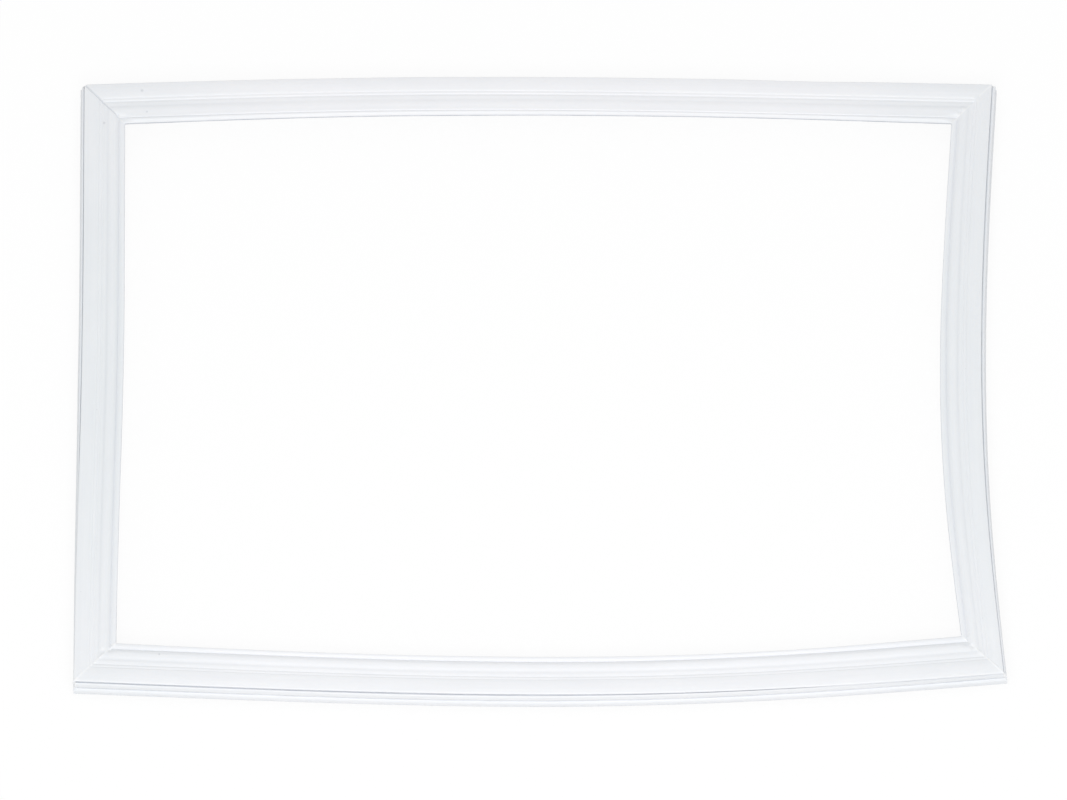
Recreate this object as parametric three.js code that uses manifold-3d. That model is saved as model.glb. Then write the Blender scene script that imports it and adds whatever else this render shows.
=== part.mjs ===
// Refrigerator door gasket: a soft extruded profile, mitred and welded into one closed frame, with a
// flexible magnet strip in the pocket of each side. Millimetres, +Z up. It lies loose on its darts with
// the sealing face up. In the section, "out" is the distance outwards from the edge of the sealing lip,
// and height is measured from the floor.
import * as THREE from "three";
import { mergeVertices } from "three/addons/utils/BufferGeometryUtils.js";
import Module from "manifold-3d";

const wasm = await Module();
wasm.setup();

// Opening of the frame, at the lip's edge
const openingLength = 516;
const openingDepth = 345;

// How far each corner lies from a true rectangle, along X and Y
const topLeftShift = [1.2, -0.2];
const topRightShift = [-2.4, -0.2];
const bottomRightShift = [1.9, 2.2];
const bottomLeftShift = [-1.9, -2.5];

// Bow of each side, outwards: its depth at the middle, and how far it is skewed towards its first end
const topBow = { depth: 5.6, skew: 0.6 };
const rightBow = { depth: -9.9, skew: 0.5 };
const bottomBow = { depth: 11.8, skew: 0.8 };
const leftBow = { depth: -1.1, skew: 0.2 };
const baseSpread = 1.5; // how much farther out the base lies than the face, midway along a side

// Magnet strips
const magnetWidth = 9.2;
const magnetThickness = 2.4;
const magnetClearance = 0.3;
const magnetEndGap = 4; // from the weld of the corner

// Section
const wall = 0.9;
const sectionHeight = 20; // floor to sealing face
const lipWidth = 3.9;
const lipThickness = 1.1;
const lipSwell = 0.6; // how far the lip's curve aims above its edge
const lipDrop = 2.2; // below the sealing face
const grooveDepth = 0.3; // below the top of the lip
const grooveFlank = 0.3; // how far each side of the air chamber leans over its groove
const chamberWidth = 6.8;
const chamberRise = 1.7; // above the top of the lip
const chamberHeight = 6.9;
const beadWidth = 3.3;
const beadRise = 0.7; // above the top of the lip
const faceRounding = 0.9;
const creviceDrop = 1.6; // below the sealing face
const creviceDepth = 0.35;
const pleatBulge = 1.8; // past the pocket's side
const pleatDrop = 3.9; // from the pocket's floor to the fold under it
const foldDepth = 0.4; // of that fold, past the pocket's side
const innerPleatBulge = 2.2;
const flangeWidth = 15.5;
const flangeThickness = 1.2;
const flangeOverhang = 1.9; // past the pocket's side
const flangeRounding = 0.6;

// Dart, centred under the flange
const dartHeight = 5;
const dartNeck = 2.6;
const dartNeckHeight = 1.3;
const dartWidth = 6.4;
const dartBarbSlope = 0.6;
const dartTip = 1.6;

// Vents, which let the air out as the door shuts
const ventRadius = 0.8;
const ventPlace = 0.08; // as a share of the side's length, from its first end
const ventOvershoot = 0.6;

// Fineness
const sideSteps = 8;
const curveSteps = 3;
const ventSteps = 12;
const mergeWithin = 1e-4;

// Places across the section
const chamberStart = lipWidth;
const chamberMiddle = chamberStart + chamberWidth / 2;
const beadStart = chamberStart + chamberWidth;
const pocketStart = beadStart + beadWidth;
const pocketEnd = pocketStart + magnetWidth + 2 * (magnetClearance + wall);
const flangeEnd = pocketEnd + flangeOverhang;
const flangeStart = flangeEnd - flangeWidth;
const dartMiddle = flangeEnd - flangeWidth / 2;

// Heights in the section
const lipTop = sectionHeight - lipDrop;
const chamberTop = lipTop + chamberRise;
const chamberFloor = chamberTop - chamberHeight;
const pocketRoof = sectionHeight - wall;
const pocketFloor = pocketRoof - magnetThickness - 2 * magnetClearance;
const pocketUnderside = pocketFloor - wall;
const foldLevel = pocketUnderside - pleatDrop;
const flangeTop = dartHeight + flangeThickness;

// The outer outline of the section, from the lip's tip across the face, down the outer side and back
function sectionOutline() {
  const path = new THREE.Path();
  const lipMiddle = lipTop - lipThickness / 2;
  const lipRounding = lipThickness / 2;
  const groove = lipTop - grooveDepth;
  const pleatEnd = pocketEnd + pleatBulge;
  const lowerPleatLevel = (foldLevel + flangeTop) / 2;
  path.moveTo(0, lipMiddle);
  path.quadraticCurveTo(0, lipTop, lipRounding, lipTop);
  path.quadraticCurveTo(lipWidth - lipThickness, lipTop + lipSwell, chamberStart, groove);
  path.quadraticCurveTo(chamberStart + grooveFlank, chamberTop, chamberMiddle, chamberTop);
  path.quadraticCurveTo(beadStart - grooveFlank, chamberTop, beadStart, groove);
  path.quadraticCurveTo(beadStart + beadWidth / 2, lipTop + 2 * beadRise, pocketStart, lipTop);
  path.quadraticCurveTo(pocketStart, sectionHeight, pocketStart + faceRounding, sectionHeight);
  path.lineTo(pocketEnd - faceRounding, sectionHeight);
  path.quadraticCurveTo(pocketEnd, sectionHeight, pocketEnd, sectionHeight - faceRounding);
  path.lineTo(pocketEnd - creviceDepth, sectionHeight - creviceDrop);
  path.quadraticCurveTo(pleatEnd - creviceDepth, sectionHeight - creviceDrop, pleatEnd, pocketUnderside);
  path.quadraticCurveTo(pleatEnd, foldLevel + wall, pocketEnd - foldDepth, foldLevel);
  path.quadraticCurveTo(flangeEnd, foldLevel, flangeEnd, lowerPleatLevel);
  path.lineTo(flangeEnd, dartHeight + flangeRounding);
  path.quadraticCurveTo(flangeEnd, dartHeight, flangeEnd - flangeRounding, dartHeight);
  addDart(path);
  path.lineTo(flangeStart + flangeRounding, dartHeight);
  path.quadraticCurveTo(flangeStart, dartHeight, flangeStart, dartHeight + flangeRounding);
  path.lineTo(flangeStart, flangeTop);
  const innerFold = flangeStart + wall;
  path.lineTo(innerFold, flangeTop);
  path.quadraticCurveTo(innerFold - innerPleatBulge, lowerPleatLevel, innerFold, foldLevel);
  path.quadraticCurveTo(beadStart, foldLevel + wall, beadStart, chamberFloor + wall);
  path.quadraticCurveTo(beadStart - wall, chamberFloor, chamberMiddle, chamberFloor);
  path.quadraticCurveTo(chamberStart, chamberFloor, chamberStart, lipTop - lipThickness - grooveDepth);
  path.lineTo(lipRounding, lipTop - lipThickness);
  path.quadraticCurveTo(0, lipTop - lipThickness, 0, lipMiddle);
  return closedPoints(path);
}

// The push-in dart, from the flange's outer side down to its tip and up again
function addDart(path) {
  const barbTop = dartHeight - dartNeckHeight;
  const barbEdge = barbTop - dartBarbSlope;
  path.lineTo(dartMiddle + dartNeck / 2, dartHeight);
  path.lineTo(dartMiddle + dartNeck / 2, barbTop);
  path.lineTo(dartMiddle + dartWidth / 2, barbEdge);
  path.lineTo(dartMiddle + dartTip / 2, 0);
  path.lineTo(dartMiddle - dartTip / 2, 0);
  path.lineTo(dartMiddle - dartWidth / 2, barbEdge);
  path.lineTo(dartMiddle - dartNeck / 2, barbTop);
  path.lineTo(dartMiddle - dartNeck / 2, dartHeight);
}

// The air chamber's hollow, one wall inside its tube
function chamberHollow() {
  const path = new THREE.Path();
  const start = chamberStart + wall;
  const end = beadStart - wall;
  const roof = chamberTop - wall;
  const floor = chamberFloor + wall;
  const level = (roof + floor) / 2;
  path.moveTo(chamberMiddle, roof);
  path.quadraticCurveTo(end, roof, end, level);
  path.quadraticCurveTo(end, floor, chamberMiddle, floor);
  path.quadraticCurveTo(start, floor, start, level);
  path.quadraticCurveTo(start, roof, chamberMiddle, roof);
  return closedPoints(path);
}

// The magnet pocket's hollow
function pocketHollow() {
  const path = new THREE.Path();
  path.moveTo(pocketStart + wall, pocketFloor);
  path.lineTo(pocketEnd - wall, pocketFloor);
  path.lineTo(pocketEnd - wall, pocketRoof);
  path.lineTo(pocketStart + wall, pocketRoof);
  path.lineTo(pocketStart + wall, pocketFloor);
  return closedPoints(path);
}

// The bellows' hollow, between the flange and the pocket, reaching up under the bead
function bellowsHollow() {
  const path = new THREE.Path();
  const pleatEnd = pocketEnd + pleatBulge - wall;
  const lowerPleatLevel = (foldLevel + flangeTop) / 2;
  const innerFold = flangeStart + 2 * wall;
  const beadRoof = lipTop - grooveDepth - wall;
  path.moveTo(pocketStart, pocketUnderside);
  path.lineTo(pleatEnd, pocketUnderside);
  path.quadraticCurveTo(pleatEnd, foldLevel + wall, pocketEnd - foldDepth - wall, foldLevel);
  path.quadraticCurveTo(flangeEnd - wall, foldLevel - wall, flangeEnd - wall, lowerPleatLevel);
  path.lineTo(flangeEnd - wall, flangeTop);
  path.lineTo(innerFold, flangeTop);
  path.quadraticCurveTo(innerFold - innerPleatBulge, lowerPleatLevel, innerFold, foldLevel);
  path.quadraticCurveTo(beadStart + wall, foldLevel + wall, beadStart + wall, chamberFloor + wall);
  path.lineTo(beadStart + wall, beadRoof);
  path.lineTo(pocketStart, beadRoof);
  path.lineTo(pocketStart, pocketUnderside);
  return closedPoints(path);
}

function closedPoints(path) {
  const points = path.getPoints(curveSteps);
  points.pop();
  return THREE.ShapeUtils.isClockWise(points) ? points.reverse() : points;
}

// The four sides of the frame, one after the other clockwise
function frameSides() {
  const corner = (x, y, shift) => new THREE.Vector2(
    (x * openingLength) / 2 + shift[0],
    (y * openingDepth) / 2 + shift[1],
  );
  const corners = [
    corner(-1, 1, topLeftShift),
    corner(1, 1, topRightShift),
    corner(1, -1, bottomRightShift),
    corner(-1, -1, bottomLeftShift),
  ];
  const bows = [topBow, rightBow, bottomBow, leftBow];
  const sides = corners.map((start, i) => {
    const end = corners[(i + 1) % corners.length];
    const along = end.clone().sub(start).normalize();
    const outwards = new THREE.Vector2(-along.y, along.x);
    return { start, end, along, outwards, bow: bows[i] };
  });
  sides.forEach((side, i) => {
    const before = sides[(i + sides.length - 1) % sides.length];
    const after = sides[(i + 1) % sides.length];
    side.startMitre = mitre(before.outwards, side.outwards);
    side.endMitre = mitre(side.outwards, after.outwards);
  });
  return sides;
}

// The way along which a corner's weld runs, for each millimetre outwards
function mitre(first, second) {
  return first.clone().add(second).divideScalar(1 + first.dot(second));
}

// How much of the base's spread a height gets: none at the pocket, all of it at the flange
function spreadShare(height) {
  return THREE.MathUtils.clamp((pocketUnderside - height) / (pocketUnderside - flangeTop), 0, 1);
}

// A point of the section, at a share of the way along a side
function place(side, out, height, share) {
  const arch = Math.sin(Math.PI * share);
  const spreadOut = out + baseSpread * arch * spreadShare(height);
  const bow = side.bow.depth * arch + side.bow.skew * Math.sin(2 * Math.PI * share);
  const first = side.start.clone().addScaledVector(side.startMitre, spreadOut);
  const last = side.end.clone().addScaledVector(side.endMitre, spreadOut);
  const point = first.lerp(last, share).addScaledVector(side.outwards, bow);
  return new THREE.Vector3(point.x, point.y, height);
}

// The share of the way along a side at which a line square to it meets a line of the section
function shareAt(side, out, distance) {
  const first = side.startMitre.dot(side.along) * out;
  const last = side.start.distanceTo(side.end) + side.endMitre.dot(side.along) * out;
  return (distance - first) / (last - first);
}

// A closed outline carried right round the frame
function sweptRing(outline, sides) {
  const rings = sides.flatMap((side) =>
    Array.from({ length: sideSteps }, (_, i) =>
      outline.map((p) => place(side, p.x, p.y, i / sideSteps))));
  const geometry = new THREE.BufferGeometry().setFromPoints(rings.flat());
  const index = [];
  for (let ring = 0; ring < rings.length; ring += 1) {
    const here = ring * outline.length;
    const next = ((ring + 1) % rings.length) * outline.length;
    for (let i = 0; i < outline.length; i += 1) {
      const j = (i + 1) % outline.length;
      index.push(here + i, here + j, next + j);
      index.push(here + i, next + j, next + i);
    }
  }
  geometry.setIndex(index);
  return geometry;
}

function toSolid(geometry) {
  const bare = geometry.clone();
  bare.deleteAttribute("normal");
  bare.deleteAttribute("uv");
  const merged = mergeVertices(bare, mergeWithin);
  return new wasm.Manifold(new wasm.Mesh({
    numProp: 3,
    vertProperties: new Float32Array(merged.attributes.position.array),
    triVerts: new Uint32Array(merged.index.array),
  }));
}

function toGeometry(solid) {
  const mesh = solid.getMesh();
  const geometry = new THREE.BufferGeometry();
  geometry.setAttribute("position", new THREE.BufferAttribute(mesh.vertProperties, 3));
  geometry.setIndex(new THREE.BufferAttribute(mesh.triVerts, 1));
  geometry.computeVertexNormals();
  return geometry;
}

// An upright drill between two heights
function drill(side, out, bottom, top) {
  const cylinder = new THREE.CylinderGeometry(ventRadius, ventRadius, top - bottom, ventSteps);
  cylinder.rotateX(Math.PI / 2);
  const at = place(side, out, bottom, ventPlace);
  cylinder.translate(at.x, at.y, (bottom + top) / 2);
  return toSolid(cylinder);
}

function gasketProfile(sides) {
  let solid = toSolid(sweptRing(sectionOutline(), sides));
  for (const hollow of [chamberHollow(), pocketHollow(), bellowsHollow()]) {
    solid = solid.subtract(toSolid(sweptRing(hollow, sides)));
  }
  const pocketVent = dartMiddle + dartWidth / 2;
  for (const side of sides) {
    const chamberDrill = drill(side, chamberMiddle, chamberFloor - ventOvershoot, chamberFloor + 2 * wall);
    const pocketDrill = drill(side, pocketVent, dartHeight - ventOvershoot, pocketFloor + magnetClearance / 2);
    solid = solid.subtract(chamberDrill).subtract(pocketDrill);
  }
  return toGeometry(solid);
}

// A magnet strip: a bar with square ends that follows the pocket of its side
function magnetStrip(side) {
  const start = pocketStart + wall + magnetClearance;
  const firstEnd = side.startMitre.dot(side.along) * start + magnetEndGap;
  const lastEnd = side.start.distanceTo(side.end) + side.endMitre.dot(side.along) * start - magnetEndGap;
  const bar = new THREE.BoxGeometry(sideSteps, magnetWidth, magnetThickness, sideSteps, 1, 1);
  const position = bar.attributes.position;
  for (let i = 0; i < position.count; i += 1) {
    const step = Math.round(position.getX(i) + sideSteps / 2);
    const out = start + magnetWidth / 2 + position.getY(i);
    const height = pocketFloor + magnetClearance + magnetThickness / 2 + position.getZ(i);
    let share = step / sideSteps;
    if (step === 0) share = shareAt(side, out, firstEnd);
    if (step === sideSteps) share = shareAt(side, out, lastEnd);
    const point = place(side, out, height, share);
    position.setXYZ(i, point.x, point.y, point.z);
  }
  return toGeometry(toSolid(bar));
}

const softVinyl = new THREE.MeshStandardMaterial({ color: 0xe8ecef, roughness: 0.5, metalness: 0 });
const magnetRubber = new THREE.MeshStandardMaterial({ color: 0x2e2c2b, roughness: 0.7, metalness: 0 });

function piece(name, geometry, material) {
  const mesh = new THREE.Mesh(geometry, material);
  mesh.name = name;
  return mesh;
}

const sides = frameSides();
const sideNames = ["top", "right", "bottom", "left"];
const group = new THREE.Group();
const profile = piece("gasket_profile", gasketProfile(sides), softVinyl);
group.add(profile);
sides.forEach((side, i) => {
  group.add(piece(`magnet_strip_${sideNames[i]}`, magnetStrip(side), magnetRubber));
});

// The origin is under the middle of the whole frame
const middle = new THREE.Box3().setFromObject(profile).getCenter(new THREE.Vector3());
group.position.set(-middle.x, -middle.y, 0);

export default group;
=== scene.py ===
import math
from dataclasses import dataclass

import bmesh
import bpy
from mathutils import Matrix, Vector, noise


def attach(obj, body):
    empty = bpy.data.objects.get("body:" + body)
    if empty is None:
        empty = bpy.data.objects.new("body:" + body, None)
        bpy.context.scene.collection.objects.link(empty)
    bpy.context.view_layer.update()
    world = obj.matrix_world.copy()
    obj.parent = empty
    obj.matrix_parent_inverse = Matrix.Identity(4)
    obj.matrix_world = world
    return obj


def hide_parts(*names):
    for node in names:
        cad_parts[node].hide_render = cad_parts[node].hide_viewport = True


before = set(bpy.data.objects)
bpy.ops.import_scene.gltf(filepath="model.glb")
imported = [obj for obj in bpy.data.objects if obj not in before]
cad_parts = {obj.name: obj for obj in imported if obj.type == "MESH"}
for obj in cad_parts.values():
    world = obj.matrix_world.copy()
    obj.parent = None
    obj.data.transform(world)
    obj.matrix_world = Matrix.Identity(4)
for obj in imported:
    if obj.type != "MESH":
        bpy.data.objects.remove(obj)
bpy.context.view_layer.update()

# Refrigerator door gasket: a soft white profile, mitred and welded into one frame, lying on the floor
# with its sealing face up. Lengths are in millimetres up to the moment a point is placed, and MM turns
# them into metres. "Out" is the distance outwards from the edge of the sealing lip.
MM = 0.001

# Frame at the lip's edge, and how far each corner lies from a true rectangle
OPENING_LENGTH = 516
OPENING_DEPTH = 345
CORNER_NAMES = ["top_left", "top_right", "bottom_right", "bottom_left"]
CORNER_SIGNS = [(-1, 1), (1, 1), (1, -1), (-1, -1)]
CORNER_SHIFTS = [(1.2, -0.2), (-2.1, -0.2), (1.6, 2.2), (-1.9, -2.5)]

# From the middle of the opening to the middle of the whole frame's box
FRAME_SHIFT = Vector((-0.05, 3.28, 0))

# Section: heights above the floor
FACE_HEIGHT = 20.0
FACE_INNER_HEIGHT = 19.6
FACE_OUTER_HEIGHT = 19.75
LEDGE_HEIGHT = 19.05
LIP_TOP = 17.9
LIP_CURL = 15.9
LIP_UNDERSIDE = 16.6
CHAMBER_TOP = 19.3
CHAMBER_CREASE_HEIGHT = 18.75
LIP_GROOVE_HEIGHT = 17.2
LEDGE_GROOVE_HEIGHT = 18.6
CHAMBER_FLOOR = 12.6
CREVICE_HEIGHT = 17.6
PLEAT_TOP = 17.7
PLEAT_HEIGHT = 15.4
FOLD_HEIGHT = 10.3
INNER_FOLD_HEIGHT = 11.3
FLANGE_TOP = 6.2
FLANGE_UNDERSIDE = 5.0
FLANGE_LIP_BOTTOM = 4.0
DART_BARB_TOP = 3.7
DART_BARB_EDGE = 3.1

# Section: distances outwards from the lip's edge
LIP_GROOVE = 3.7
CHAMBER_SHOULDER = 6.2
CHAMBER_MIDDLE = 8.4
CHAMBER_CREASE = 10.8
BEAD = 12.4
LEDGE_GROOVE = 14.1
LEDGE_START = 15.0
LEDGE_CREASE = 16.0
FACE_START = 17.2
FACE_END = 24.7
POCKET_END = 25.6
CREVICE = 25.25
PLEAT = 27.35
FOLD = 26.3
FLANGE_END = 28.2
FLANGE_START = 12.0
INNER_FOLD = 12.9
DART_MIDDLE = 19.75
DART_NECK = 1.3
DART_BARB = 3.2
DART_TIP = 0.8

# Bounds inside the section: the lip and chamber's roof, and the pleat beyond the crevice
ROOF_FROM = LIP_CURL - 0.1
PLEAT_BELOW = PLEAT_TOP + 0.1
PLEAT_START = CREVICE + 0.4
PLEAT_BLEND = 0.8

# Fineness: steps of a curve, and stations along a side, closest together beside the welds
CURVE_STEPS = 6
FACE_STEPS = 8
SIDE_STEPS = 64
CORNER_STATIONS = [0.0, 0.25, 0.5, 0.8, 1.2] + [1.2 + 0.9 * i for i in range(1, 24)]
SHARP_EDGE = math.radians(38)


@dataclass
class Lie:
    """How one side of the loose frame lies: its departures from a straight and level one."""

    bow: tuple  # depth, skew and ripple of the whole section, outwards
    lip_bow: tuple  # the same for the lip's free edge alone
    widening: float  # of the face, at mid-span
    base_spread: tuple  # of the flange, at the start, middle and end
    lean: float  # of the upper part at mid-span, in degrees, positive where the outer edge drops
    chamber_lean: float  # the same for the chamber's top
    lip_lift: float  # of the lip and the groove behind it
    tone: float  # of this cut length, from 0 for the greyer to 1 for the whiter: partly the length's own tint, partly painted light and shade that make the top and bottom lengths lighter than the left and right
    pinches: tuple = ()  # of the outer edge: place and half width as shares of the side, and depth


LIES = {
    "top": Lie(
        bow=(5.3, 0.5, 0.0), lip_bow=(1.0, -0.3, 0.2), widening=-0.2, base_spread=(-1.6, -1.5, -1.9),
        lean=-1.0, chamber_lean=-4.0, lip_lift=1.3, tone=1.0,
        pinches=((0.80, 0.10, 0.5), (0.27, 0.09, 0.2)),
    ),
    "right": Lie(
        bow=(-10.0, 0.5, 0.0), lip_bow=(0.0, 0.3, 0.0), widening=-0.2, base_spread=(0.6, 0.5, -0.3),
        lean=0.0, chamber_lean=0.0, lip_lift=-0.1, tone=0.1,
    ),
    "bottom": Lie(
        bow=(11.2, 1.0, 0.0), lip_bow=(0.7, 0.0, 0.3), widening=0.0, base_spread=(-1.8, -0.1, -0.3),
        lean=2.0, chamber_lean=4.0, lip_lift=0.0, tone=0.8,
    ),
    "left": Lie(
        bow=(-1.2, 0.3, 0.2), lip_bow=(-0.2, 0.0, 0.0), widening=-0.1, base_spread=(-2.2, 0.0, -0.1),
        lean=0.0, chamber_lean=0.0, lip_lift=-0.1, tone=0.0,
    ),
}

# Welds: rise of the seam at the lip, the chamber and the face, negative where it sank into a crease
WELD_WIDTH = 1.2
WELD_RISES = {
    "top_left": (0.05, -0.45, -0.8),
    "top_right": (0.1, 0.05, -0.05),
    "bottom_right": (0.1, 0.05, 0.4),
    "bottom_left": (0.2, 0.25, 0.2),
}
WELD_BANDS = (2.0, 9.0, 20.0)
WELD_MEAN = 0.75
WELD_VARIATION = 0.7
WELD_VARIATION_OUT = 0.4
WELD_VARIATION_UP = 0.3

# Lumps and dents that welding left beside the corners: x, y, radius and rise
LUMPS = [
    (-261.8, 180.9, 1.8, -0.7),
    (-267.9, -177.8, 3.0, -0.9),
    (-263.6, -176.9, 2.2, -0.8),
    (-263.8, -174.4, 2.0, 0.5),
    (262.9, -168.6, 2.5, 0.5),
    (266.0, -174.6, 2.2, -0.8),
    (261.7, -172.5, 2.4, -0.6),
    (270.9, -178.0, 1.8, 0.5),
    (263.2, 185.2, 2.2, 0.6),
    (261.0, 182.6, 1.5, -0.7),
    (271.5, 191.4, 2.0, 0.6),
]

# Marks on the surface: x, y and radius
MARKS = [(-246.4, 196.9, 1.3), (-269.7, 175.5, 1.1), (-243.3, 183.0, 0.9), (-233.4, -179.8, 0.9)]

# Runs beside a corner in which a side takes up its lean and its lifted lip
LEAN_RUN = 45
LIFT_RUN = 9

# How far the chamber's lean and the lip's lift reach across the section, to either side
CHAMBER_REACH = 5.5
LIFT_MIDDLE = LIP_GROOVE - 0.6
LIFT_REACH = 3.4

# Tone at the corners, and the run over which a length takes its own. The tone carries painted light and shade
# as well as each length's tint
CORNER_TONE_AND_LIGHT = 0.4
TONE_AND_LIGHT_RUN = 110

# Unevenness of soft vinyl, along a side and across it
UNEVEN_RISE = 0.1
UNEVEN_LENGTH = 48
UNEVEN_WIDTH = 7
UNEVEN_SEED = 5.3

# Painted shade: darkening painted into the vinyl's colour where shade falls. How far it reaches and how
# strong it is, for each crevice, groove, underside, the lip's cut edge and a sunken weld
LIP_EDGE_WIDTH = 0.6
LIP_EDGE_TOP = LIP_TOP - 0.3
CREVICE_SHADE_REACH = 1.1
CREVICE_SHADE = 0.7
FOLD_SHADE_REACH = 0.7
RIM_WIDTH = 0.6
RIM_TOP = FLANGE_LIP_BOTTOM + 0.8
RIM_START = FLANGE_END - 1
RIM_SHADE = 0.8
LIP_GROOVE_SHADE_REACH = 1.3
CREASE_SHADE_REACH = 1.4
GROOVE_SHADE = 0.16
# How much fainter the grooves' painted shade is on a whiter length
GROOVE_SHADE_FADE_ON_WHITER = 0.9
SUNKEN_WELD = -0.1
SUNKEN_WELD_SHADE = 0.4

# Soft vinyl: the two ends of its mottling for each tone, whose whiter and greyer ends carry painted light and
# shade besides each length's own tint, and what is put on it: whitened welds, painted shade, specks and marks
GREYER_VINYL = ((0.812, 0.843, 0.870, 1), (0.858, 0.883, 0.906, 1))
WHITER_VINYL = ((0.880, 0.890, 0.922, 1), (0.920, 0.926, 0.954, 1))
WELD_COLOUR = (0.93, 0.94, 0.95, 1)
WELD_WHITENING = 0.7
# Colour and strength of the painted shade in crevices, grooves, undersides and sunken welds
PAINTED_SHADE_COLOUR = (0.30, 0.34, 0.41, 1)
PAINTED_SHADE_COVER = 0.75
SPECK_COLOUR = (0.30, 0.33, 0.38, 1)
MARK_COLOUR = (0.22, 0.25, 0.31, 1)
SPECK_CELLS = 110.0
SPECK_RARITY = 0.93
SPECK_RADIUS = 0.05
SPECK_COVER = 0.35
MARK_COVER = 0.3
STREAK_SCALE = (9, 900, 1)
DRIFT_SCALE = (14, 130, 1)
MOTTLE_SCALE = 60.0
GRAIN_SCALE = 1500.0
VINYL_SMOOTHEST = 0.40
VINYL_ROUGHEST = 0.66
VINYL_IOR = 1.53
VINYL_GLOW = 0.2
VINYL_GLOW_TINT = (1.0, 0.95, 0.9)
VINYL_GLOW_DEPTH = 0.8 * MM

# Magnet rubber
RUBBER_DARKER = (0.022, 0.021, 0.020, 1)
RUBBER_LIGHTER = (0.040, 0.037, 0.035, 1)
RUBBER_GRAIN_SCALE = 900.0
RUBBER_SMOOTHEST = 0.62
RUBBER_ROUGHEST = 0.8

# Camera: far off with a long lens, because the photograph shows next to no perspective
CAMERA_ELEVATION = math.radians(67.5)
CAMERA_DISTANCE = 14.0
CAMERA_TARGET = Vector((-3.45, -10.1, 17.8)) * MM
VIEW_WIDTH = 658.6 * MM
SENSOR = 36.0

# Light
WORLD_LEVEL = 0.70
KEY_PLACE = Vector((0.0, -1.25, 2.1))
KEY_SIZE = 1.2
KEY_WATTS = 21.0
FLOOR_SIZE = 9.0
FLOOR_WHITE = 1.0
FLOOR_BOUNCE = 0.9
FLOOR_SHADOW_SHARE = 0.1


class Outline:
    """A closed outline in the section, drawn with straight and curved stretches."""

    def __init__(self, out, height):
        self.points = [(out, height)]

    def line(self, out, height, steps=1):
        start = self.points[-1]
        for i in range(1, steps + 1):
            t = i / steps
            self.points.append((start[0] + (out - start[0]) * t, start[1] + (height - start[1]) * t))

    def curve(self, control_out, control_height, out, height, steps=CURVE_STEPS):
        start = self.points[-1]
        for i in range(1, steps + 1):
            t = i / steps
            a, b, c = (1 - t) ** 2, 2 * t * (1 - t), t * t
            self.points.append((
                a * start[0] + b * control_out + c * out,
                a * start[1] + b * control_height + c * height,
            ))

    def closed(self):
        return self.points[:-1]


def section_outline():
    """The whole section. The small numbers beside the named ones round its corners off."""
    shape = Outline(0.35, LIP_CURL)
    draw_lip_and_chamber(shape)
    draw_face(shape)
    draw_outer_pleats(shape)
    draw_underside(shape)
    return shape.closed()


def draw_lip_and_chamber(shape):
    shape.curve(-0.15, LIP_CURL + 0.3, 0.0, LIP_TOP - 0.8, 4)
    shape.curve(0.1, LIP_TOP, 0.9, LIP_TOP, 4)
    shape.curve(2.3, LIP_TOP + 0.15, LIP_GROOVE, LIP_GROOVE_HEIGHT)
    shape.curve(LIP_GROOVE + 1.0, CHAMBER_TOP - 0.9, CHAMBER_SHOULDER, CHAMBER_TOP - 0.25)
    shape.curve(8.4, CHAMBER_TOP + 0.3, CHAMBER_CREASE, CHAMBER_CREASE_HEIGHT)
    shape.curve(BEAD, CHAMBER_CREASE_HEIGHT + 0.35, BEAD + 1.0, CHAMBER_CREASE_HEIGHT - 0.05, 4)
    shape.curve(LEDGE_GROOVE - 0.3, LEDGE_GROOVE_HEIGHT, LEDGE_GROOVE, LEDGE_GROOVE_HEIGHT, 4)


def draw_face(shape):
    shape.curve(LEDGE_GROOVE + 0.4, LEDGE_HEIGHT - 0.05, LEDGE_START, LEDGE_HEIGHT, 4)
    shape.line(LEDGE_CREASE, LEDGE_HEIGHT, 2)
    shape.curve(LEDGE_CREASE + 0.3, FACE_INNER_HEIGHT - 0.15, FACE_START, FACE_INNER_HEIGHT, 4)
    crown = 2 * FACE_HEIGHT - (FACE_INNER_HEIGHT + FACE_OUTER_HEIGHT) / 2
    shape.curve((FACE_START + FACE_END) / 2, crown, FACE_END, FACE_OUTER_HEIGHT, FACE_STEPS)
    shape.curve(POCKET_END, FACE_OUTER_HEIGHT, POCKET_END, FACE_OUTER_HEIGHT - 0.8, 5)


def draw_outer_pleats(shape):
    shape.line(CREVICE, CREVICE_HEIGHT, 3)
    shape.curve(CREVICE + 0.05, CREVICE_HEIGHT - 1.2, CREVICE + 0.4, CREVICE_HEIGHT - 0.6, 3)
    shape.curve(PLEAT - 1.6, PLEAT_TOP, PLEAT - 0.9, PLEAT_TOP, 4)
    shape.curve(PLEAT - 0.1, PLEAT_TOP, PLEAT, PLEAT_HEIGHT)
    shape.curve(PLEAT + 0.2, FOLD_HEIGHT + 0.9, FOLD, FOLD_HEIGHT + 0.3)
    shape.line(FOLD, FOLD_HEIGHT - 0.2)
    shape.curve(FLANGE_END, FOLD_HEIGHT - 0.5, FLANGE_END, FLANGE_TOP + 1.8)
    shape.line(FLANGE_END, FLANGE_LIP_BOTTOM + 0.6, 3)
    shape.curve(FLANGE_END, FLANGE_LIP_BOTTOM, FLANGE_END - 0.6, FLANGE_LIP_BOTTOM, 4)


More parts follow.
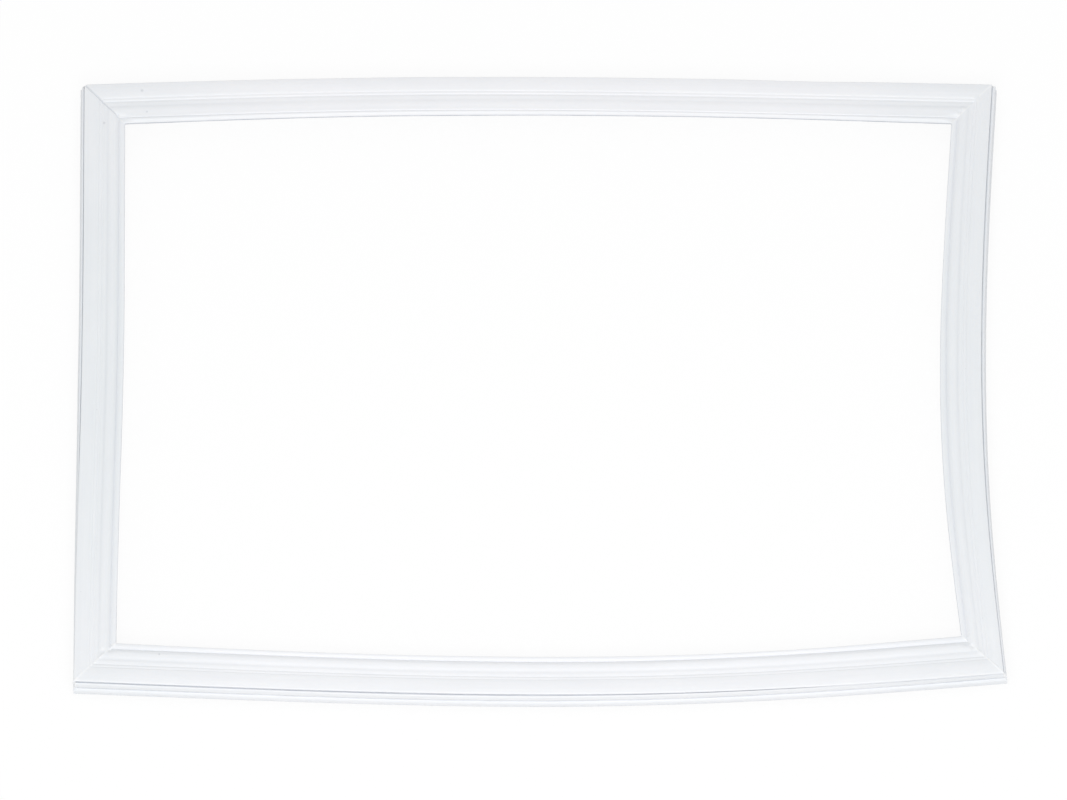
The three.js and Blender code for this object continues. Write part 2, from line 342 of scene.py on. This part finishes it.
def draw_underside(shape):
    shape.curve(FLANGE_END - 1.6, FLANGE_UNDERSIDE, FLANGE_END - 2.8, FLANGE_UNDERSIDE, 4)
    draw_dart(shape)
    shape.line(FLANGE_START + 0.6, FLANGE_UNDERSIDE, 4)
    shape.curve(FLANGE_START, FLANGE_UNDERSIDE, FLANGE_START, FLANGE_UNDERSIDE + 0.6, 4)
    shape.line(FLANGE_START, FLANGE_TOP)
    shape.line(INNER_FOLD, FLANGE_TOP)
    shape.curve(INNER_FOLD - 2.2, (INNER_FOLD_HEIGHT + FLANGE_TOP) / 2, INNER_FOLD, INNER_FOLD_HEIGHT)
    shape.curve(CHAMBER_CREASE, INNER_FOLD_HEIGHT + 0.9, CHAMBER_CREASE, CHAMBER_FLOOR + 0.9)
    shape.curve(CHAMBER_CREASE - 0.9, CHAMBER_FLOOR, 7.3, CHAMBER_FLOOR)
    shape.curve(LIP_GROOVE, CHAMBER_FLOOR, LIP_GROOVE, LIP_UNDERSIDE - 0.2)
    shape.line(1.3, LIP_UNDERSIDE, 3)
    shape.curve(0.6, LIP_UNDERSIDE, 0.35, LIP_CURL, 3)


def draw_dart(shape):
    for side in (1, -1):
        steps = [
            (DART_NECK, FLANGE_UNDERSIDE),
            (DART_NECK, DART_BARB_TOP),
            (DART_BARB, DART_BARB_EDGE),
            (DART_TIP, 0),
        ]
        for half, height in steps[::side]:
            shape.line(DART_MIDDLE + side * half, height)


def clamp(value):
    return min(max(value, 0.0), 1.0)


def smooth(value):
    value = clamp(value)
    return value * value * (3 - 2 * value)


def bell(distance, radius):
    """From 1 at the middle to 0 at the radius, smoothly."""
    return (1 + math.cos(math.pi * min(distance / radius, 1))) / 2


def wave(share, bow):
    depth, skew, ripple = bow
    turn = math.pi * share
    return depth * math.sin(turn) + skew * math.sin(2 * turn) + ripple * math.sin(3 * turn)


def between(values, places, at):
    """Straight interpolation of three values given at three places."""
    if at <= places[1]:
        return values[0] + (values[1] - values[0]) * clamp((at - places[0]) / (places[1] - places[0]))
    return values[1] + (values[2] - values[1]) * clamp((at - places[1]) / (places[2] - places[1]))


class Side:
    """One length of the frame between two welded corners."""

    def __init__(self, name, start, end, start_weld, end_weld):
        self.start = start
        self.end = end
        self.welds = (start_weld, end_weld)
        self.lie = LIES[name]
        self.length = (end - start).length
        self.along = (end - start).normalized()
        self.outwards = Vector((-self.along.y, self.along.x))
        self.before = None
        self.after = None

    def leaned(self, out, height, share):
        """The height after the soft upper part has leaned over, while the base lies flat."""
        slope = math.tan(math.radians(self.lie.lean)) * (0.5 + 0.5 * math.sin(math.pi * share))
        in_top = smooth((height - FLANGE_TOP) / (PLEAT_HEIGHT - FLANGE_TOP))
        to_weld = min(share, 1 - share) * self.length
        level = height - (out - DART_MIDDLE) * slope * in_top * smooth(to_weld / LEAN_RUN)
        if height > ROOF_FROM:
            taken_up = smooth(to_weld / LIFT_RUN)
            near_middle = bell(abs(out - CHAMBER_MIDDLE), CHAMBER_REACH)
            roof_slope = math.tan(math.radians(self.lie.chamber_lean)) * near_middle
            level -= (out - CHAMBER_MIDDLE) * roof_slope * taken_up
            level += self.lie.lip_lift * bell(abs(out - LIFT_MIDDLE), LIFT_REACH) * taken_up
        return max(level, 0)

    def tone_and_painted_light_at(self, share):
        """This length's tone, partly its own tint and partly painted light that makes the top and bottom
        lengths lighter, which fades into a shared one where the welds were worked over.
        """
        to_weld = min(share, 1 - share) * self.length
        return CORNER_TONE_AND_LIGHT + (self.lie.tone - CORNER_TONE_AND_LIGHT) * smooth(to_weld / TONE_AND_LIGHT_RUN)

    def own_out(self, out, height, share):
        """Distance outwards on this side, after its own departures from the plain section."""
        lie = self.lie
        in_face = smooth((out - LEDGE_GROOVE) / (FACE_END - LEDGE_GROOVE))
        in_lip = clamp(1 - out / LIP_GROOVE) if height > CHAMBER_FLOOR else 0.0
        in_base = clamp((CREVICE_HEIGHT - height) / (CREVICE_HEIGHT - FOLD_HEIGHT))
        if height < PLEAT_BELOW:
            in_base = max(in_base, smooth((out - PLEAT_START) / PLEAT_BLEND))
        arch = math.sin(math.pi * share)
        moved = lie.widening * arch * in_face + wave(share, lie.lip_bow) * in_lip
        outer = smooth((out - DART_MIDDLE) / (POCKET_END - DART_MIDDLE))
        moved += between(lie.base_spread, (0, 0.5, 1), share) * in_base * outer
        for place, half_width, depth in lie.pinches:
            moved -= depth * in_face * bell(abs(share - place), half_width)
        return out + moved

    def place(self, out, height, share):
        """A point of the section, at a share of the way along this side."""
        at_start = corner_point(
            self.outwards, self.own_out(out, height, 0),
            self.before.outwards, self.before.own_out(out, height, 1),
        )
        at_end = corner_point(
            self.outwards, self.own_out(out, height, 1),
            self.after.outwards, self.after.own_out(out, height, 0),
        )
        slide = at_start.dot(self.along) * (1 - share) + at_end.dot(self.along) * share
        offset = self.own_out(out, height, share) + wave(share, self.lie.bow)
        point = self.start.lerp(self.end, share) + self.along * slide + self.outwards * offset
        return Vector((point.x, point.y, self.leaned(out, height, share)))


def corner_point(first, first_out, second, second_out):
    """Where two sides' lines meet, from the corner of the lip's edge."""
    slant = first.dot(second)
    scale = 1 - slant * slant
    along_first = (first_out - second_out * slant) / scale
    along_second = (second_out - first_out * slant) / scale
    return first * along_first + second * along_second


def frame_sides():
    corners = [
        Vector((sx * OPENING_LENGTH / 2 + shift[0], sy * OPENING_DEPTH / 2 + shift[1]))
        for (sx, sy), shift in zip(CORNER_SIGNS, CORNER_SHIFTS)
    ]
    sides = []
    for i, name in enumerate(LIES):
        after = (i + 1) % 4
        sides.append(Side(name, corners[i], corners[after], CORNER_NAMES[i], CORNER_NAMES[after]))
    for i, side in enumerate(sides):
        side.before = sides[i - 1]
        side.after = sides[(i + 1) % 4]
    return sides


def stations_of(side):
    """Shares of the way along a side, close together at its two welds."""
    near = [distance / side.length for distance in CORNER_STATIONS]
    span = 1 - 2 * near[-1]
    between_corners = [near[-1] + span * i / SIDE_STEPS for i in range(1, SIDE_STEPS)]
    return near + between_corners + [1 - share for share in reversed(near[1:])]


def outline_normals(outline):
    normals = []
    for i, _ in enumerate(outline):
        step = Vector(outline[(i + 1) % len(outline)]) - Vector(outline[i - 1])
        normals.append(Vector((-step.y, step.x)).normalized())
    return normals


def weld_rise(side, share, out, height):
    """How far the weld stands above the plain surface, and its strength as a share."""
    distance = min(share, 1 - share) * side.length
    if distance >= WELD_WIDTH or height < FOLD_HEIGHT:
        return 0.0, 0.0
    weld = side.welds[0] if share < 0.5 else side.welds[1]
    strength = bell(distance, WELD_WIDTH)
    spot = Vector((out * WELD_VARIATION_OUT, height * WELD_VARIATION_UP, len(weld)))
    lumps = WELD_MEAN + WELD_VARIATION * noise.noise(spot)
    return between(WELD_RISES[weld], WELD_BANDS, out) * strength * lumps, strength


def unevenness(walked, out, height):
    if height < FOLD_HEIGHT:
        return 0.0
    return UNEVEN_RISE * noise.noise(Vector((walked / UNEVEN_LENGTH, out / UNEVEN_WIDTH, UNEVEN_SEED)))


def lump_rise(point):
    rise = 0.0
    for x, y, radius, height in LUMPS:
        distance = math.hypot(point.x - x, point.y - y)
        if distance < radius:
            rise += height * bell(distance, radius)
    return rise


@dataclass
class Ring:
    """One row of points round the section, with what the material needs to know of each."""

    walked: float
    tone: float
    points: list
    welds: list
    # Strength of the painted shade at each point
    painted_shade: list


def rings_round(sides, outline, shift):
    normals = outline_normals(outline)
    rings = []
    walked = 0.0
    for side in sides:
        for share in stations_of(side):
            ring = Ring(walked + share * side.length, side.tone_and_painted_light_at(share), [], [], [])
            for (out, height), normal in zip(outline, normals):
                rise, strength = weld_rise(side, share, out, height)
                rise += unevenness(ring.walked, out, height)
                point = side.place(out + normal.x * rise, height + normal.y * rise, share) + shift
                if height > LIP_UNDERSIDE:
                    point.z += lump_rise(point)
                ring.points.append(point * MM)
                ring.welds.append(strength if rise > 0 else 0.0)
                # A weld that sank into a crease gets painted shade along it
                sunken = strength if rise < SUNKEN_WELD else 0.0
                ring.painted_shade.append(painted_shade_at(out, height, sunken, ring.tone))
            rings.append(ring)
        walked += side.length
    return rings


def painted_shade_at(out, height, sunken_weld, tone):
    """Painted shade: on the lip's cut edge, in the crevices, under the rim, in the grooves and in a sunken
    weld, darkening the colour where shade falls.
    """
    lip_edge = 0.0
    if out < LIP_EDGE_WIDTH and height > ROOF_FROM:
        lip_edge = smooth((LIP_EDGE_TOP - height) / LIP_EDGE_WIDTH)
    crevice = CREVICE_SHADE * bell(math.hypot(out - CREVICE, height - CREVICE_HEIGHT), CREVICE_SHADE_REACH)
    fold = bell(math.hypot(out - FOLD, height - FOLD_HEIGHT), FOLD_SHADE_REACH)
    rim = 0.0
    if out > RIM_START:
        rim = RIM_SHADE * smooth((RIM_TOP - height) / RIM_WIDTH)
    return max(lip_edge, crevice, fold, rim, groove_shade_at(out, height, tone), SUNKEN_WELD_SHADE * sunken_weld)


def groove_shade_at(out, height, tone):
    """Faint painted shade in the two grooves beside the chamber, fainter still on a whiter length."""
    if height <= LIP_UNDERSIDE:
        return 0.0
    in_lip_groove = bell(abs(out - LIP_GROOVE), LIP_GROOVE_SHADE_REACH)
    in_crease = bell(abs(out - CHAMBER_CREASE), CREASE_SHADE_REACH)
    return max(in_lip_groove, in_crease) * GROOVE_SHADE * (1 - GROOVE_SHADE_FADE_ON_WHITER * tone)


def swept_skin(rings, outline):
    """The closed skin: one ring extruded from station to station, then bridged to its start."""
    bm = bmesh.new()
    weld = bm.verts.layers.float.new("weld")
    # The painted shade mask, handed to the material as an attribute
    painted_shade = bm.verts.layers.float.new("painted_shade")
    # Each length's tone: partly its own tint, partly painted light and shade between the sides
    tone = bm.verts.layers.float.new("tone")
    place_of = {}

    def settle(verts, row):
        for column, vert in enumerate(verts):
            vert.co = rings[row].points[column]
            vert[weld] = rings[row].welds[column]
            vert[painted_shade] = rings[row].painted_shade[column]
            vert[tone] = rings[row].tone
            place_of[vert] = (row, column)

    verts = [bm.verts.new(point) for point in rings[0].points]
    edges = [bm.edges.new(pair) for pair in zip(verts, verts[1:] + verts[:1])]
    first_edges = edges
    settle(verts, 0)
    for row in range(1, len(rings)):
        made = bmesh.ops.extrude_edge_only(bm, edges=edges)["geom"]
        fresh = {part for part in made if isinstance(part, bmesh.types.BMVert)}
        verts = [
            next(edge.other_vert(vert) for edge in vert.link_edges if edge.other_vert(vert) in fresh)
            for vert in verts
        ]
        edges = [bm.edges.get(pair) for pair in zip(verts, verts[1:] + verts[:1])]
        settle(verts, row)
    bmesh.ops.bridge_loops(bm, edges=edges + first_edges)
    add_profile_map(bm, place_of, rings, outline)
    bmesh.ops.remove_doubles(bm, verts=bm.verts, dist=1e-6)
    bmesh.ops.recalc_face_normals(bm, faces=bm.faces)
    return bm


def add_profile_map(bm, place_of, rings, outline):
    """A map in metres: how far round the frame, and how far round the section."""
    layer = bm.loops.layers.uv.new("profile")
    round_section = [0.0]
    for here, there in zip(outline, outline[1:] + outline[:1]):
        round_section.append(round_section[-1] + math.dist(here, there))
    walked = [ring.walked for ring in rings] + [rings[-1].walked + 1]
    for face in bm.faces:
        spots = [place_of[loop.vert] for loop in face.loops]
        wraps_row = max(row for row, _ in spots) - min(row for row, _ in spots) > 1
        wraps_column = max(column for _, column in spots) - min(column for _, column in spots) > 1
        for loop, (row, column) in zip(face.loops, spots):
            row = len(rings) if wraps_row and row == 0 else row
            column = len(outline) if wraps_column and column == 0 else column
            loop[layer].uv = (walked[row] * MM, round_section[column] * MM)


def finished(bm, name, material):
    mesh = bpy.data.meshes.new(name)
    bm.to_mesh(mesh)
    bm.free()
    mesh.polygons.foreach_set("use_smooth", [True] * len(mesh.polygons))
    mesh.set_sharp_from_angle(angle=SHARP_EDGE)
    mesh.materials.append(material)
    piece = bpy.data.objects.new(name, mesh)
    bpy.context.collection.objects.link(piece)
    return piece


def gasket():
    sides = frame_sides()
    outline = section_outline()
    bm = swept_skin(rings_round(sides, outline, FRAME_SHIFT), outline)
    piece = finished(bm, "gasket_skin", soft_vinyl())
    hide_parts("gasket_profile")
    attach(piece, "root")


class Nodes:
    """A material's node tree, with short calls for the nodes that are used here."""

    def __init__(self, name):
        self.material = bpy.data.materials.new(name)
        self.material.use_nodes = True
        self.tree = self.material.node_tree
        self.shader = self.tree.nodes["Principled BSDF"]
        self.output = self.tree.nodes["Material Output"]

    def add(self, kind, inputs=None, **settings):
        node = self.tree.nodes.new(kind)
        for key, value in settings.items():
            setattr(node, key, value)
        for key, value in (inputs or {}).items():
            self.set(node, key, value)
        return node

    def set(self, node, key, value):
        socket = node.inputs[key]
        if isinstance(value, bpy.types.NodeSocket):
            self.tree.links.new(value, socket)
        else:
            socket.default_value = value

    def scaled(self, source, scale):
        return self.add("ShaderNodeMapping", {"Vector": source, "Scale": scale}).outputs[0]

    def noise(self, vector, scale, detail=2.0, roughness=0.5):
        inputs = {"Vector": vector, "Scale": scale, "Detail": detail, "Roughness": roughness}
        return self.add("ShaderNodeTexNoise", inputs).outputs["Fac"]

    def ramp(self, value, low, high, to_low=0.0, to_high=1.0):
        inputs = {"Value": value, "From Min": low, "From Max": high, "To Min": to_low, "To Max": to_high}
        return self.add("ShaderNodeMapRange", inputs).outputs[0]

    def math(self, operation, first, second):
        return self.add("ShaderNodeMath", {0: first, 1: second}, operation=operation).outputs[0]

    def mix(self, share, first, second):
        node = self.add("ShaderNodeMix", data_type="RGBA")
        self.set(node, 0, share)
        self.set(node, 6, first)
        self.set(node, 7, second)
        return node.outputs[2]

    def attribute(self, name):
        return self.add("ShaderNodeAttribute", attribute_name=name).outputs["Fac"]

    def bump(self, height, distance, strength, normal=None):
        inputs = {"Height": height, "Distance": distance, "Strength": strength}
        if normal:
            inputs["Normal"] = normal
        return self.add("ShaderNodeBump", inputs).outputs[0]


def soft_vinyl():
    """Cool white soft vinyl: drawn streaks, faint mottling, a fine grain, painted shade in its crevices,
    grooves and undersides, a tone that is partly painted light, and whitened welds.
    """
    made = Nodes("soft_vinyl")
    place = made.add("ShaderNodeTexCoord").outputs["Object"]
    profile = made.add("ShaderNodeUVMap", uv_map="profile").outputs[0]
    streaks = made.noise(made.scaled(profile, STREAK_SCALE), 1.0, 3.0)
    drift = made.noise(made.scaled(profile, DRIFT_SCALE), 1.0, 2.0)
    mottle = made.noise(place, MOTTLE_SCALE, 4.0)
    grain = made.noise(place, GRAIN_SCALE, 2.0)
    # Painted shade from the crevices, grooves and undersides, broken up by the mottling
    painted_shade = made.math("MULTIPLY", made.attribute("painted_shade"), made.ramp(mottle, 0.25, 0.6, 0.45, 1.0))

    clean = clean_vinyl(made, streaks, drift, mottle)
    made.set(made.shader, "Base Color", painted_shade_and_marks(made, place, clean, painted_shade))
    # Roughness follows the mottling and the painted shade mask
    mottle_and_painted_shade = made.math("ADD", mottle, painted_shade)
    made.set(made.shader, "Roughness", made.ramp(mottle_and_painted_shade, 0.3, 1.4, VINYL_SMOOTHEST, VINYL_ROUGHEST))
    made.set(made.shader, "IOR", VINYL_IOR)
    made.set(made.shader, "Subsurface Weight", VINYL_GLOW)
    made.set(made.shader, "Subsurface Radius", VINYL_GLOW_TINT)
    made.set(made.shader, "Subsurface Scale", VINYL_GLOW_DEPTH)
    fine = made.bump(grain, 0.00003, 0.5)
    lines = made.bump(streaks, 0.00006, 0.5, fine)
    made.set(made.shader, "Normal", made.bump(drift, 0.0003, 0.35, lines))
    return made.material


def clean_vinyl(made, streaks, drift, mottle):
    """The vinyl's colour before its painted shade: streaks, drift and mottling add up to one shade, for each
    tone, and the tone is partly each length's own tint and partly painted light that makes the top and bottom
    lengths lighter.
    """
    shade = made.math("ADD", made.ramp(streaks, 0.3, 0.7, 0, 0.4), made.ramp(drift, 0.3, 0.7, 0, 0.35))
    shade = made.math("ADD", shade, made.ramp(mottle, 0.3, 0.7, 0, 0.25))
    greyer = made.mix(shade, *GREYER_VINYL)
    whiter = made.mix(shade, *WHITER_VINYL)
    # The whiter tone is partly painted light on the top and bottom lengths, the greyer partly painted shade
    # on the left and right
    colour = made.mix(made.attribute("tone"), greyer, whiter)
    whitened = made.math("MULTIPLY", made.attribute("weld"), WELD_WHITENING)
    return made.mix(whitened, colour, WELD_COLOUR)


def painted_shade_and_marks(made, place, colour, painted_shade):
    # Painted shade is mixed in first, then the real specks and marks
    colour = made.mix(made.math("MULTIPLY", painted_shade, PAINTED_SHADE_COVER), colour, PAINTED_SHADE_COLOUR)
    colour = made.mix(specks(made, place), colour, SPECK_COLOUR)
    return made.mix(marks(made, place), colour, MARK_COLOUR)


def specks(made, place):
    """Rare dark specks, in a few of the cells of a loose pattern."""
    cells = made.add("ShaderNodeTexVoronoi", {"Vector": place, "Scale": SPECK_CELLS})
    parts = made.add("ShaderNodeSeparateColor", {"Color": cells.outputs["Color"]})
    chosen = made.math("GREATER_THAN", parts.outputs[0], SPECK_RARITY)
    near = made.ramp(cells.outputs["Distance"], 0.0, SPECK_RADIUS, SPECK_COVER, 0.0)
    return made.math("MULTIPLY", chosen, near)


def marks(made, place):
    """The larger marks, each at its own place."""
    flat = made.scaled(place, (1, 1, 0))
    total = 0.0
    for x, y, radius in MARKS:
        away = made.add("ShaderNodeVectorMath", {0: flat, 1: (x * MM, y * MM, 0)}, operation="DISTANCE")
        spot = made.ramp(away.outputs["Value"], 0, radius * MM, MARK_COVER, 0.0)
        total = made.math("ADD", spot, total)
    return total


def magnet_rubber():
    """Dark, matte, magnet-filled rubber with a ground surface."""
    made = Nodes("magnet_rubber")
    place = made.add("ShaderNodeTexCoord").outputs["Object"]
    grain = made.noise(place, RUBBER_GRAIN_SCALE, 4.0)
    made.set(made.shader, "Base Color", made.mix(grain, RUBBER_DARKER, RUBBER_LIGHTER))
    made.set(made.shader, "Roughness", made.ramp(grain, 0.3, 0.7, RUBBER_SMOOTHEST, RUBBER_ROUGHEST))
    made.set(made.shader, "Normal", made.bump(grain, 0.0001, 0.5))
    return made.material


def magnet_strips():
    material = magnet_rubber()
    for name in LIES:
        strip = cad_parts[f"magnet_strip_{name}"]
        for slot in strip.material_slots:
            slot.material = material


def studio_floor():
    """A floor that the camera sees as plain white with a faint shadow."""
    bpy.ops.mesh.primitive_plane_add(size=FLOOR_SIZE, location=(0, 0, 0))
    floor = bpy.context.object
    floor.name = "floor"
    made = Nodes("floor")
    made.tree.nodes.remove(made.shader)
    bounce = made.add("ShaderNodeBsdfDiffuse", {"Color": (FLOOR_BOUNCE, FLOOR_BOUNCE, FLOOR_BOUNCE, 1)})
    shaded = made.add("ShaderNodeBsdfDiffuse", {"Color": (1, 1, 1, 1)})
    white = made.add("ShaderNodeEmission", {"Color": (FLOOR_WHITE, FLOOR_WHITE, FLOOR_WHITE, 1)})
    made.set(white, "Strength", 1.0)
    seen = made.add("ShaderNodeMixShader", {0: FLOOR_SHADOW_SHARE, 1: white.outputs[0], 2: shaded.outputs[0]})
    camera_ray = made.add("ShaderNodeLightPath").outputs["Is Camera Ray"]
    choice = made.add("ShaderNodeMixShader", {0: camera_ray, 1: bounce.outputs[0], 2: seen.outputs[0]})
    made.set(made.output, "Surface", choice.outputs[0])
    floor.data.materials.append(made.material)


def studio_light():
    world = bpy.data.worlds.new("studio")
    bpy.context.scene.world = world
    world.use_nodes = True
    background = world.node_tree.nodes["Background"]
    background.inputs["Color"].default_value = (1, 1, 1, 1)
    background.inputs["Strength"].default_value = WORLD_LEVEL
    lamp = bpy.data.lights.new("key", "AREA")
    lamp.shape = "SQUARE"
    lamp.size = KEY_SIZE
    lamp.energy = KEY_WATTS
    key = bpy.data.objects.new("key", lamp)
    key.location = KEY_PLACE
    key.rotation_euler = (-KEY_PLACE).to_track_quat("-Z", "Y").to_euler()
    bpy.context.collection.objects.link(key)


def studio_camera():
    data = bpy.data.cameras.new("camera")
    data.sensor_width = SENSOR
    data.lens = SENSOR * CAMERA_DISTANCE / VIEW_WIDTH
    data.clip_end = 10 * CAMERA_DISTANCE
    camera = bpy.data.objects.new("camera", data)
    back = Vector((0, -math.cos(CAMERA_ELEVATION), math.sin(CAMERA_ELEVATION)))
    camera.location = CAMERA_TARGET + back * CAMERA_DISTANCE
    camera.rotation_euler = (-back).to_track_quat("-Z", "Y").to_euler()
    bpy.context.collection.objects.link(camera)
    bpy.context.scene.camera = camera


bpy.context.scene.view_settings.view_transform = "Standard"
studio_camera()
studio_floor()
studio_light()
gasket()
magnet_strips()
